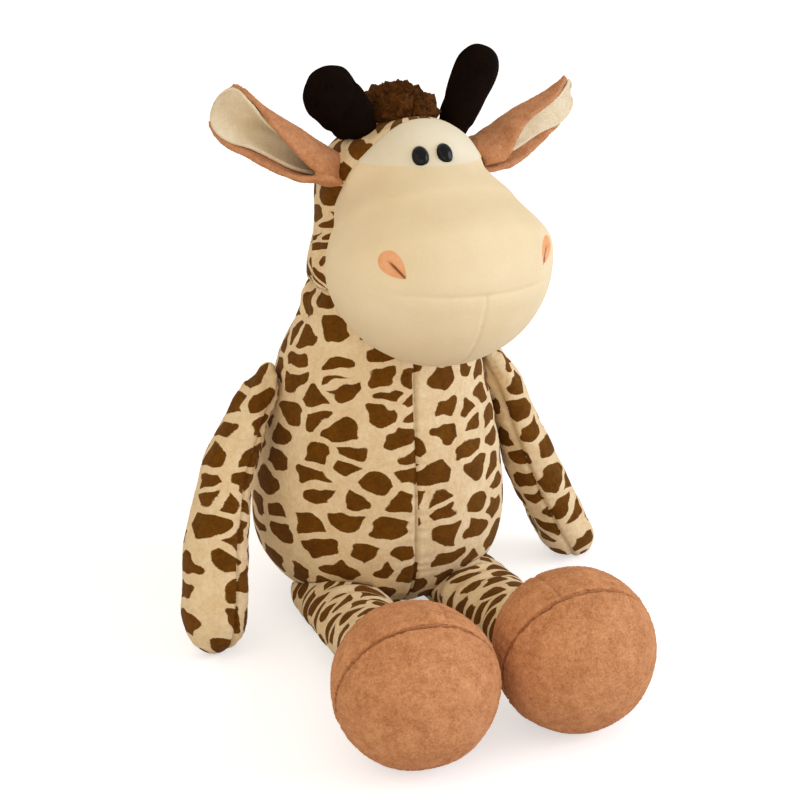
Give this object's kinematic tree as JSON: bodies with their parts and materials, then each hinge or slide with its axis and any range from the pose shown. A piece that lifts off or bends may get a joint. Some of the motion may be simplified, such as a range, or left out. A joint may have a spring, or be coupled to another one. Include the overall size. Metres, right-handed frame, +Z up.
{
  "type": "plush giraffe",
  "caption": "Seated plush giraffe with a large cream muzzle, spotted body, velvet horns, lined ears, fur mane, floppy arms and legs and big round tan feet.",
  "frame": {"origin": "middle of the flat seat under the torso, on the surface it sits on", "axes": "+Z up, -Y the way the toy faces, +X its left side"},
  "size_m": [0.2399, 0.3309, 0.2862],
  "materials": {
    "print_plush": "matte",
    "cream_plush": "matte",
    "pale_plush": "matte",
    "tan_plush": "matte",
    "ear_lining": "matte",
    "nostril_plush": "matte",
    "horn_velvet": "matte",
    "mane_fur": "matte",
    "eye_plastic": "gloss",
    "washer_plastic": "satin"
  },
  "bodies": {
    "torso": {"body": "print_plush", "neck_mane": "mane_fur"},
    "head": {"head_back": "print_plush", "forehead": "pale_plush", "muzzle": "cream_plush", "right_chin": "cream_plush", "left_chin": "cream_plush", "right_eye": "eye_plastic", "left_eye": "eye_plastic", "right_eye_washer": "washer_plastic", "left_eye_washer": "washer_plastic", "right_nostril": "nostril_plush", "left_nostril": "nostril_plush", "mane": "mane_fur"},
    "right_horn": {"right_horn": "horn_velvet"},
    "left_horn": {"left_horn": "horn_velvet"},
    "right_ear": {"right_ear": "tan_plush", "right_ear_lining": "ear_lining"},
    "left_ear": {"left_ear": "tan_plush", "left_ear_lining": "ear_lining"},
    "right_arm": {"right_arm": "print_plush"},
    "left_arm": {"left_arm": "print_plush"},
    "right_leg": {"right_leg": "print_plush"},
    "left_leg": {"left_leg": "print_plush"},
    "right_foot": {"right_foot": "tan_plush", "right_foot_sole": "tan_plush"},
    "left_foot": {"left_foot": "tan_plush", "left_foot_sole": "tan_plush"},
    "tail": {"tail": "print_plush", "tail_tuft": "mane_fur"}
  },
  "joints": [
    {"name": "neck_nod", "type": "hinge", "parent": "torso", "child": "head", "pos_m": [0.003, -0.008, 0.155], "axis": [0.9952, 0.0871, -0.0454], "range_deg": [-8, 8], "stiffness_Nm_per_rad": 3},
    {"name": "right_horn_bend", "type": "hinge", "parent": "head", "child": "right_horn", "pos_m": [-0.01436, -0.01956, 0.25178], "axis": [0.8317, 0.0728, 0.5505], "range_deg": [-12, 12], "stiffness_Nm_per_rad": 0.02},
    {"name": "left_horn_bend", "type": "hinge", "parent": "head", "child": "left_horn", "pos_m": [0.03423, -0.01531, 0.24754], "axis": [0.9058, 0.0792, -0.4163], "range_deg": [-12, 12], "stiffness_Nm_per_rad": 0.02},
    {"name": "right_ear_flop", "type": "hinge", "parent": "head", "child": "right_ear", "pos_m": [-0.03351, -0.01601, 0.23627], "axis": [0.0872, -0.9962, 0], "range_deg": [-5, 35], "stiffness_Nm_per_rad": 0.02},
    {"name": "left_ear_flop", "type": "hinge", "parent": "head", "child": "left_ear", "pos_m": [0.04754, -0.00892, 0.23257], "axis": [-0.3904, 0.9205, 0.014], "range_deg": [-5, 35], "stiffness_Nm_per_rad": 0.02},
    {"name": "right_shoulder_swing", "type": "hinge", "parent": "torso", "child": "right_arm", "pos_m": [-0.05379, -0.00318, 0.1185], "axis": [-0.9712, 0, 0.2381], "range_deg": [-60, 75], "stiffness_Nm_per_rad": 0.06},
    {"name": "left_shoulder_swing", "type": "hinge", "parent": "torso", "child": "left_arm", "pos_m": [0.05294, -0.00343, 0.122], "axis": [-0.9714, 0, -0.2375], "range_deg": [-40, 90], "stiffness_Nm_per_rad": 0.06},
    {"name": "right_hip_swing", "type": "hinge", "parent": "torso", "child": "right_leg", "pos_m": [-0.033, -0.044, 0.0235], "axis": [1, 0, 0], "range_deg": [-12, 90], "stiffness_Nm_per_rad": 0.2},
    {"name": "left_hip_swing", "type": "hinge", "parent": "torso", "child": "left_leg", "pos_m": [0.033, -0.044, 0.0235], "axis": [1, 0, 0], "range_deg": [-12, 90], "stiffness_Nm_per_rad": 0.2},
    {"name": "right_ankle_tilt", "type": "hinge", "parent": "right_leg", "child": "right_foot", "pos_m": [-0.043, -0.172, 0.0375], "axis": [0.997, -0.0779, 0], "range_deg": [-15, 15], "stiffness_Nm_per_rad": 0.2},
    {"name": "left_ankle_tilt", "type": "hinge", "parent": "left_leg", "child": "left_foot", "pos_m": [0.037, -0.166, 0.0375], "axis": [0.9995, 0.0328, 0], "range_deg": [-15, 15], "stiffness_Nm_per_rad": 0.2},
    {"name": "tail_lift", "type": "hinge", "parent": "torso", "child": "tail", "pos_m": [0, 0.05643, 0.027], "axis": [1, 0, 0], "range_deg": [-30, 25], "stiffness_Nm_per_rad": 0.02}
  ]
}
